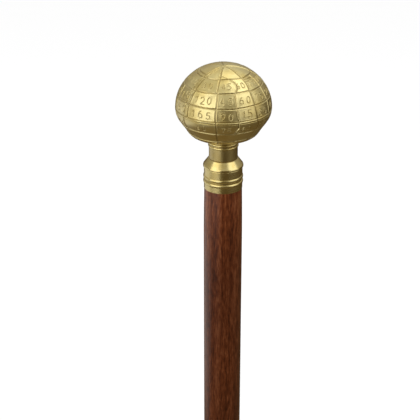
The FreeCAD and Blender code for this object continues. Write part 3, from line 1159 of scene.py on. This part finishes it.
    def half_skin(self, skin: bpy.types.Object, name: str, half: Half) -> bpy.types.Object:
        """Copies one side of the seam, with a small ease at its rim.

        Args:
            skin: The whole skin.
            name: The new piece's name.
            half: The side that stays.

        Returns:
            The piece, open at the seam.
        """
        select_only(skin)
        bpy.ops.object.duplicate()
        piece = bpy.context.object
        piece.name = name
        side = 1 if half is Half.UPPER else -1
        bpy.ops.object.mode_set(mode="EDIT")
        self.bisect(self.seam + side * self.seam_ease, half)
        pick_edges(piece, lambda edge: edge.is_boundary)
        bpy.ops.mesh.extrude_edges_move(TRANSFORM_OT_translate={"value": (0, 0, -side * self.seam_ease)})
        inward = 1 - self.seam_ease / self.form.radius
        bpy.ops.transform.resize(value=(inward, inward, 1), center_override=(0, 0, self.seam))
        bpy.ops.object.mode_set(mode="OBJECT")
        return piece

    @staticmethod
    def bisect(height: float, half: Half) -> None:
        """Cuts the piece in edit mode with a level plane and clears one side.

        Args:
            height: The plane's height.
            half: The half that stays.
        """
        bpy.ops.mesh.select_all(action="SELECT")
        bpy.ops.mesh.bisect(plane_co=(0, 0, height), plane_no=(0, 0, 1), use_fill=False,
                            threshold=CUT_REACH, clear_inner=half is Half.UPPER,
                            clear_outer=half is Half.LOWER)

    def inner_dome(self, lowest: float) -> list[Ring]:
        """Rings of the cap's inner dome.

        Args:
            lowest: The height of the first ring.

        Returns:
            The rings, up to the pole.
        """
        width, rise = self.form.radius - self.wall, self.form.rise - self.wall
        first = math.asin((lowest - self.form.middle) / rise)
        rings = []
        for step in range(self.dome_steps + 1):
            angle = first + (math.pi / 2 - first) * step / self.dome_steps
            rings.append((width * math.cos(angle), self.form.middle + rise * math.sin(angle)))
        return rings

    def line_cap(self, cap: bpy.types.Object) -> None:
        """Gives the cap its seat and inner dome, and joins them to its skin.

        Args:
            cap: The globe's upper skin, open at the seam.
        """
        seat = self.form.radius - self.wall + self.seat_bite
        seat_top = self.seam + self.seat_half_height
        rings = [(seat, self.seam), (seat, seat_top)] + self.inner_dome(seat_top)
        self.join_lining(cap, rings, (self.seam,))

    def line_bowl(self, bowl: bpy.types.Object) -> None:
        """Gives the bowl its flat underside, boss hole, inner cone and seat, and joins them to its skin.

        Args:
            bowl: The globe's lower skin, open at the seam.
        """
        floor = self.form.middle - self.form.drop
        select_only(bowl)
        bpy.ops.object.mode_set(mode="EDIT")
        self.bisect(floor + self.floor_cut, Half.UPPER)
        bpy.ops.object.mode_set(mode="OBJECT")
        seat = self.form.radius - self.wall + self.seat_bite
        seat_foot = self.seam - self.seat_half_height
        inner = self.form.radius - self.bowl_wall
        foot = self.form.flat_radius + self.wall / 2
        cut_radius = self.form.flat_radius + self.floor_cut / math.tan(self.form.low_slope)
        rings = eased([(cut_radius, floor + self.floor_cut, 0),
                       (self.form.flat_radius, floor, self.floor_cut), (self.hole_radius, floor, 0)])
        rings += [(self.hole_radius, floor + self.wall), (foot, floor + self.wall)]
        rings += [(inner - inset, self.form.middle - drop) for inset, drop in self.bowl_knees]
        rings += [(inner, seat_foot), (seat, seat_foot), (seat, self.seam)]
        self.join_lining(bowl, rings, (floor + self.floor_cut, self.seam))

    def join_lining(self, shell: bpy.types.Object, rings: Sequence[Ring], joints: Sequence[float]) -> None:
        """Turns a lining and bridges its open rings to the shell's.

        Args:
            shell: The skin, open at its joints.
            rings: The lining's rings.
            joints: The heights at which both are open.
        """
        lining = turn("lining", rings, self.lining_segments)
        select_only(shell, lining)
        bpy.ops.object.join()
        bpy.ops.object.mode_set(mode="EDIT")
        for joint in joints:
            pick_edges(shell, lambda edge, joint=joint: edge.is_boundary and all(
                abs(vertex.co.z - joint) < self.joint_reach for vertex in edge.verts))
            bpy.ops.mesh.bridge_edge_loops()
        close_up(shell)


# Turned fittings


@dataclass
class Neck:
    """The plain neck under the globe, with two fine beads at its top."""

    globe_foot: float
    ring_foot: float
    ring_top: float
    radius: float = 9.4 * MM
    cove: float = 0.12 * MM
    low_bead_radius: float = 9.9 * MM
    high_bead_radius: float = 10.1 * MM
    bead_height: float = 1.45 * MM
    bead_land: float = 0.85 * MM
    top_land: float = 1.6 * MM
    spigot_radius: float = 7.6 * MM
    passage: float = 5.3 * MM
    socket_radius: float = 7.23 * MM
    socket_depth: float = 5.03 * MM
    edge_break: float = 0.3 * MM
    fine_break: float = 0.05 * MM
    segments: int = 160

    def build(self) -> None:
        """Turns the neck."""
        high_top = self.globe_foot - self.top_land
        high_foot = high_top - self.bead_height
        low_top = high_foot - self.bead_land
        low_foot = low_top - self.bead_height
        socket_foot = self.globe_foot - self.socket_depth
        rings = eased([(self.passage, socket_foot, 0), (self.passage, self.ring_foot, self.edge_break),
                       (self.spigot_radius, self.ring_foot, self.edge_break),
                       (self.spigot_radius, self.ring_top, 0),
                       (self.radius - self.cove, self.ring_top, self.fine_break),
                       (self.radius, self.ring_top + self.cove, self.fine_break),
                       (self.radius, low_foot, 0)])
        rings += bead((self.radius, low_foot), (self.radius, low_top), self.low_bead_radius)
        rings += bead((self.radius, high_foot), (self.radius, high_top), self.high_bead_radius)
        rings += [(self.radius, self.globe_foot), (self.socket_radius, self.globe_foot),
                  (self.socket_radius, socket_foot), (self.passage, socket_foot)]
        piece = turn("neck", rings, self.segments)
        brass = TurnedBrass("neck_brass", self.radius - 0.05 * MM, self.radius + 0.25 * MM, roughness=0.26)
        finished(piece, brass.material(), Body.KNOB, Slot.FITTINGS, "neck_sleeve")


@dataclass
class BevelRing:
    """The wide bevelled ring that caps the collar."""

    foot: float
    top: float
    radius: float = 13.15 * MM
    rim_height: float = 1.2 * MM
    rim_round: float = 0.5 * MM
    top_radius: float = 9.75 * MM
    top_break: float = 0.3 * MM
    foot_break: float = 0.25 * MM
    bore: float = 7.63 * MM
    bore_break: float = 0.2 * MM
    segments: int = 192

    def build(self) -> None:
        """Turns the ring."""
        rings = eased([(self.bore, self.top, 0), (self.bore, self.foot, self.bore_break),
                       (self.radius, self.foot, self.foot_break),
                       (self.radius, self.foot + self.rim_height, self.rim_round),
                       (self.top_radius, self.top, self.top_break), (self.bore, self.top, 0)], 6)
        piece = turn("bevel_cap", rings, self.segments)
        brass = TurnedBrass("bevel_brass", self.top_radius - 0.1 * MM, self.top_radius + 0.5 * MM,
                            roughness=0.22)
        finished(piece, brass.material(), Body.KNOB, Slot.FITTINGS, "bevel_ring")


@dataclass
class Collar:
    """The brass cup over the top of the wood, with two beads."""

    foot: float
    top: float
    band_radius: float = 12.6 * MM
    bead_radius: float = 13.05 * MM
    bead_height: float = 2.3 * MM
    low_bead: float = 4.95 * MM
    high_bead: float = 8.3 * MM
    groove_radius: float = 12.2 * MM
    top_wall: float = 3.5 * MM
    bore: float = 10.65 * MM
    passage: float = 5.3 * MM
    inner_break: float = 0.3 * MM
    foot_breaks: tuple[float, float] = (0.15 * MM, 0.2 * MM)
    edge_ease: float = 0.45 * MM
    segments: int = 192

    def build(self) -> None:
        """Turns the collar."""
        half = self.bead_height / 2
        beads = [self.foot + self.low_bead, self.foot + self.high_bead]
        roof = self.top - self.top_wall
        inside, outside = self.foot_breaks
        rings = eased([(self.passage, roof, 0), (self.bore, roof, self.inner_break),
                       (self.bore, self.foot, inside), (self.band_radius, self.foot, outside),
                       (self.band_radius, beads[0] - half, 0)])
        rings += bead((self.band_radius, beads[0] - half), (self.groove_radius, beads[0] + half),
                      self.bead_radius)
        rings += bead((self.groove_radius, beads[1] - half), (self.band_radius, beads[1] + half),
                      self.bead_radius)
        rings += eased([(self.band_radius, beads[1] + half, 0),
                        (self.band_radius, self.top, self.edge_ease),
                        (self.passage, self.top, self.inner_break), (self.passage, roof, 0)])[1:]
        piece = turn("collar", rings, self.segments)
        brass = TurnedBrass("collar_brass", self.groove_radius, self.band_radius - 0.05 * MM)
        finished(piece, brass.material(), Body.STICK, Slot.FITTINGS, "shaft_collar")


# Shaft and tip


@dataclass
class Shaft:
    """The wooden shaft: a slight swell under the collar, a long taper and a bullet-shaped nose."""

    foot: float
    tenon_top: float
    wood_top: float
    top_radius: float = 12.4 * MM
    swell_radius: float = 12.8 * MM
    swell_depth: float = 38.0 * MM
    nose_radius: float = 11.25 * MM
    foot_radius: float = 7.5 * MM
    nose_length: float = 46.0 * MM
    nose_power: float = 0.53
    nose_start: float = 0.985
    nose_crowding: float = 1.6
    nose_steps: int = 24
    taper_power: float = 3.0
    taper_steps: int = 60
    swell_steps: int = 12
    foot_ease: float = 0.6 * MM
    tenon_radius: float = 10.6 * MM
    insert_radius: float = 8.05 * MM
    insert_depth: float = 15.5 * MM
    pilot_radius: float = 5.3 * MM
    pilot_depth: float = 3.0 * MM
    stem_radius: float = 6.25 * MM
    stem_depth: float = 20.05 * MM
    segments: int = 144

    def skin_rings(self) -> list[Ring]:
        """Rings of the visible wood, from the foot up to the collar.

        Returns:
            The rings.
        """
        nose_top = self.foot + self.nose_length
        taper_top = self.wood_top - self.swell_depth
        start = (self.nose_at(self.nose_start), nose_top - self.nose_start * self.nose_length, 0)
        rings = eased([(self.stem_radius, self.foot, 0), (self.foot_radius, self.foot, self.foot_ease),
                       start])[1:]
        for step in range(1, self.nose_steps + 1):
            down = self.nose_start * (1 - step / self.nose_steps) ** self.nose_crowding
            rings.append((self.nose_at(down), nose_top - down * self.nose_length))
        for step in range(1, self.taper_steps + 1):
            down = 1 - step / self.taper_steps
            narrowing = (self.swell_radius - self.nose_radius) * down ** self.taper_power
            rings.append((self.swell_radius - narrowing, taper_top - (taper_top - nose_top) * down))
        for step in range(1, self.swell_steps + 1):
            down = 1 - step / self.swell_steps
            swell = (self.swell_radius - self.top_radius) * math.sin(down * math.pi / 2)
            rings.append((self.top_radius + swell, self.wood_top - self.swell_depth * down))
        return rings

    def nose_at(self, down: float) -> float:
        """The nose's radius at a share of its length from its wide end."""
        narrowing = 1 - (1 - down) ** self.nose_power
        return self.nose_radius - (self.nose_radius - self.foot_radius) * narrowing

    def build(self) -> None:
        """Turns the shaft."""
        stem_top = self.foot + self.stem_depth
        insert_foot = self.tenon_top - self.insert_depth
        pilot_foot = insert_foot - self.pilot_depth
        rings = [(0.0, stem_top), (self.stem_radius, stem_top), (self.stem_radius, self.foot)]
        rings += self.skin_rings()
        rings += [(self.tenon_radius, self.wood_top), (self.tenon_radius, self.tenon_top),
                  (self.insert_radius, self.tenon_top), (self.insert_radius, insert_foot),
                  (self.pilot_radius, insert_foot), (self.pilot_radius, pilot_foot), (0.0, pilot_foot)]
        piece = turn("wood_shaft", rings, self.segments)
        finished(piece, VarnishedWood().material(), Body.STICK, Slot.WOOD, "shaft")


@dataclass
class Tip:
    """The brass tube at the foot and the rubber plug in it."""

    tube_foot: float
    tube_top: float
    wood_foot: float
    tube_radius: float = 6.72 * MM
    tube_bore: float = 5.72 * MM
    stem_radius: float = 6.2 * MM
    stem_bore: float = 5.2 * MM
    seat_drop: float = 1.2 * MM
    edge_ease: float = 0.4 * MM
    inner_break: float = 0.25 * MM
    stem_break: float = 0.2 * MM
    shoulder_break: float = 0.1 * MM
    rubber_radius: float = 5.69 * MM
    rubber_round: float = 1.6 * MM
    rubber_break: float = 0.2 * MM
    rubber_gap: float = 0.03 * MM
    mould_line: float = 0.06 * MM
    mould_place: float = 0.55
    segments: int = 96

    def build(self) -> None:
        """Turns the tube and the plug."""
        seat = self.wood_foot - self.seat_drop
        rings = eased([(self.tube_bore, seat, 0), (self.tube_bore, self.tube_foot, self.inner_break),
                       (self.tube_radius, self.tube_foot, self.edge_ease),
                       (self.tube_radius, self.wood_foot, self.shoulder_break),
                       (self.stem_radius, self.wood_foot, 0),
                       (self.stem_radius, self.tube_top, self.stem_break),
                       (self.stem_bore, self.tube_top, 0),
                       (self.stem_bore, seat, 0), (self.tube_bore, seat, 0)])
        tube = turn("tip_brass", rings, self.segments)
        brass = TurnedBrass("tip_tube_brass", self.tube_radius - 0.6 * MM, self.tube_radius - 0.1 * MM)
        finished(tube, brass.material(), Body.STICK, Slot.FITTINGS, "tip_tube")
        line = self.mould_place * self.tube_foot
        plug_top = seat - self.rubber_gap
        rings = eased([(0.0, 0.0, 0), (self.rubber_radius, 0.0, self.rubber_round),
                       (self.rubber_radius, line - 3 * self.mould_line, self.mould_line),
                       (self.rubber_radius - self.mould_line, line, self.mould_line),
                       (self.rubber_radius, line + 3 * self.mould_line, self.mould_line),
                       (self.rubber_radius, plug_top, self.rubber_break), (0.0, plug_top, 0)], 6)
        plug = turn("rubber_tip", rings, self.segments)
        finished(plug, TipRubber().material(), Body.STICK, Slot.RUBBER, "rubber_plug")


@dataclass
class Stud:
    """The steel stud that screws the knob to the shaft, with its thread."""

    foot: float
    top: float
    radius: float = 5.0 * MM
    pitch: float = 1.5 * MM
    depth: float = 0.55 * MM
    end_break: float = 0.8 * MM
    crest: float = 0.12
    flank: float = 0.7
    rings_per_pitch: int = 10
    segments: int = 56

    def build(self) -> None:
        """Turns the stud and cuts its thread."""
        count = round((self.top - self.foot - 2 * self.end_break) / self.pitch * self.rings_per_pitch)
        low, high = self.foot + self.end_break, self.top - self.end_break
        rings = [(0.0, self.foot), (self.radius - self.end_break, self.foot)]
        rings += [(self.radius, low + (high - low) * step / count) for step in range(count + 1)]
        rings += [(self.radius - self.end_break, self.top), (0.0, self.top)]
        piece = turn("threaded_stud", rings, self.segments)
        thread = piece.vertex_groups.new(name="thread")
        for vertex in piece.data.vertices:
            phase = (vertex.co.z / self.pitch - math.atan2(vertex.co.y, vertex.co.x) / (2 * math.pi)) % 1
            if low - MERGE_REACH < vertex.co.z < high + MERGE_REACH:
                weight = min(1.0, max(0.0, (abs(2 * phase - 1) - self.crest) / self.flank))
                thread.add([vertex.index], weight, "REPLACE")
        select_only(piece)
        displace = piece.modifiers.new("thread", "DISPLACE")
        displace.vertex_group = thread.name
        displace.mid_level = 0
        displace.strength = -self.depth
        apply_modifiers(piece)
        piece.vertex_groups.clear()
        steel = MachinedMetal("zinc_steel", (0.56, 0.56, 0.57), (0.42, 0.42, 0.43), 0.36)
        finished(piece, steel.material(), Body.STUD, Slot.STUD, "tie_stud")


def dress_hidden_fittings() -> None:
    """Gives the fittings that the knob hides their machined brass, on their own CAD meshes."""
    brass = MachinedMetal("machined_brass", (0.72, 0.55, 0.26), (0.55, 0.40, 0.17), 0.34).material()
    for node in ("thread_insert", "stud_boss", "joint_band"):
        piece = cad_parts[node]
        piece.data.materials.clear()
        piece.data.materials.append(brass)
        LOG.info("%s: machined brass on its CAD mesh", node)


# Studio


@dataclass(frozen=True)
class Softbox:
    """A soft rectangular lamp that faces a point."""

    name: str
    azimuth: float
    elevation: float
    distance: float
    width: float
    height: float
    radiance: float

    def light(self, target: Vector) -> None:
        """Hangs the lamp.

        Args:
            target: The point that it faces.
        """
        turned, raised = math.radians(self.azimuth), math.radians(self.elevation)
        level = math.cos(raised)
        away = Vector((math.sin(turned) * level, -math.cos(turned) * level, math.sin(raised)))
        lamp = bpy.data.lights.new(self.name, "AREA")
        lamp.shape = "RECTANGLE"
        lamp.size, lamp.size_y = self.width, self.height
        lamp.energy = self.radiance * math.pi * self.width * self.height
        holder = bpy.data.objects.new(self.name, lamp)
        holder.location = target + away * self.distance
        holder.rotation_euler = away.to_track_quat("Z", "Y").to_euler()
        holder.visible_camera = False
        bpy.context.scene.collection.objects.link(holder)


@dataclass
class Studio:
    """Pale floor, white surroundings, soft lamps and the photograph's camera."""

    aim: tuple[float, float, float] = (-8.6 * MM, 0.0, 813.35 * MM)
    elevation: float = 25.0
    distance: float = 0.761
    lens: float = 98.6
    floor_size: float = 16.0
    floor_colour: Colour = (0.32, 0.23, 0.11)
    floor_seen_near: Colour = (1.05, 1.05, 1.05)
    floor_seen_far: Colour = (2.3, 2.3, 2.3)
    floor_near_radius: float = 0.2
    floor_far_radius: float = 1.8
    floor_glow: float = 0.46
    diffuse_level: Colour = (0.22, 0.22, 0.22)
    glossy_low: Colour = (0.12, 0.085, 0.032)
    glossy_high: Colour = (0.62, 0.60, 0.54)
    softboxes: tuple[Softbox, ...] = (
        Softbox("left_softbox", -47.0, 11.0, 0.85, 1.00, 1.23, 1.25),
        Softbox("left_back_softbox", -112.0, -22.0, 1.00, 1.10, 0.85, 0.56),
        Softbox("right_softbox", 69.0, 43.0, 0.85, 0.67, 0.66, 0.92),
        Softbox("low_right_softbox", 62.0, 4.0, 0.90, 1.06, 0.55, 0.78),
        Softbox("high_softbox", 130.0, 71.0, 0.95, 0.80, 0.60, 0.98),
    )

    def build(self) -> None:
        """Sets up the studio."""
        bpy.context.scene.view_settings.view_transform = "Standard"
        self.lay_floor()
        self.paint_world()
        knob = Vector((0, 0, (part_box("globe_bowl")[0].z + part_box("globe_cap")[1].z) / 2))
        for softbox in self.softboxes:
            softbox.light(knob)
        self.set_camera()

    def lay_floor(self) -> None:
        """Lays the pale floor, which is white to the camera and keeps its shadows."""
        bpy.ops.object.select_all(action="DESELECT")
        bpy.ops.mesh.primitive_plane_add(size=self.floor_size, location=(0, 0, 0))
        floor = bpy.context.object
        floor.name = "floor"
        paint = new_paint("pale_floor")
        rays = paint.node("ShaderNodeLightPath", {}, {})
        x, y, _ = paint.split(paint.place())
        far = paint.eased((x * x + y * y) ** 0.5, self.floor_near_radius, self.floor_far_radius)
        colour = paint.blend(far, self.floor_seen_near, self.floor_seen_far)
        matte = paint.node("ShaderNodeBsdfDiffuse", {}, {"Color": colour})
        glow = paint.node("ShaderNodeEmission", {}, {"Strength": self.floor_glow})
        seen = paint.node("ShaderNodeAddShader", {}, {0: matte.outputs[0], 1: glow.outputs[0]})
        plain = paint.node("ShaderNodeBsdfDiffuse", {}, {"Color": (*self.floor_colour, 1.0)})
        floor_shader = paint.node("ShaderNodeMixShader", {}, {0: rays.outputs["Is Camera Ray"],
                                                              1: plain.outputs[0], 2: seen.outputs[0]})
        paint.node("ShaderNodeOutputMaterial", {}, {"Surface": floor_shader.outputs[0]})
        floor.data.materials.append(paint.owner)

    def paint_world(self) -> None:
        """Paints the surroundings: white to the camera, and dark below and pale above to metal."""
        world = bpy.data.worlds.new("studio")
        bpy.context.scene.world = world
        paint = Paint(world)
        rays = paint.node("ShaderNodeLightPath", {}, {})
        direction = paint.signal(paint.node("ShaderNodeTexCoord", {}, {}), "Generated")
        _, back, up = paint.split(direction)
        glossy = paint.blend(paint.eased(back * 0.25 + up, -0.1, 1.0), self.glossy_low, self.glossy_high)
        colour = paint.blend(paint.signal(rays, "Is Glossy Ray"), self.diffuse_level, glossy)
        colour = paint.blend(paint.signal(rays, "Is Camera Ray"), colour, (1.0, 1.0, 1.0))
        shader = paint.node("ShaderNodeBackground", {}, {"Color": colour})
        paint.node("ShaderNodeOutputWorld", {}, {"Surface": shader.outputs[0]})

    def set_camera(self) -> None:
        """Points the camera as the photograph does."""
        raised = math.radians(self.elevation)
        back = Vector((0, -math.cos(raised), math.sin(raised)))
        camera = bpy.data.cameras.new("camera")
        camera.lens = self.lens
        camera.clip_start, camera.clip_end = 0.05, 50.0
        holder = bpy.data.objects.new("camera", camera)
        place = Matrix.Translation(Vector(self.aim) + back * self.distance)
        holder.matrix_world = place @ back.to_track_quat("Z", "Y").to_matrix().to_4x4()
        bpy.context.scene.collection.objects.link(holder)
        bpy.context.scene.camera = holder


def main() -> None:
    """Builds and dresses every piece of the stick, and then its studio."""
    logging.basicConfig(level=logging.INFO, format="%(message)s")
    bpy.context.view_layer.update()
    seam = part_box("globe_cap")[0].z
    middle = seam + SEAM_DROP
    form = GlobeForm(middle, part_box("globe_cap")[1].z - middle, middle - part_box("globe_bowl")[0].z)
    ring_foot, ring_top = (corner.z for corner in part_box("bevel_ring"))
    neck_foot, globe_foot = (corner.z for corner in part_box("neck_sleeve"))
    collar_foot, collar_top = (corner.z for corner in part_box("shaft_collar"))
    wood_foot, tenon_top = (corner.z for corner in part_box("shaft"))
    tube_foot, tube_top = (corner.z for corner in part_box("tip_tube"))
    stud_foot, stud_top = (corner.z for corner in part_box("tie_stud"))
    Globe(form, seam).build()
    Neck(globe_foot, neck_foot, ring_top).build()
    BevelRing(ring_foot, ring_top).build()
    Collar(collar_foot, collar_top).build()
    Shaft(wood_foot, tenon_top, collar_foot).build()
    Tip(tube_foot, tube_top, wood_foot).build()
    Stud(stud_foot, stud_top).build()
    dress_hidden_fittings()
    Studio().build()


if __name__ == "__main__":
    main()
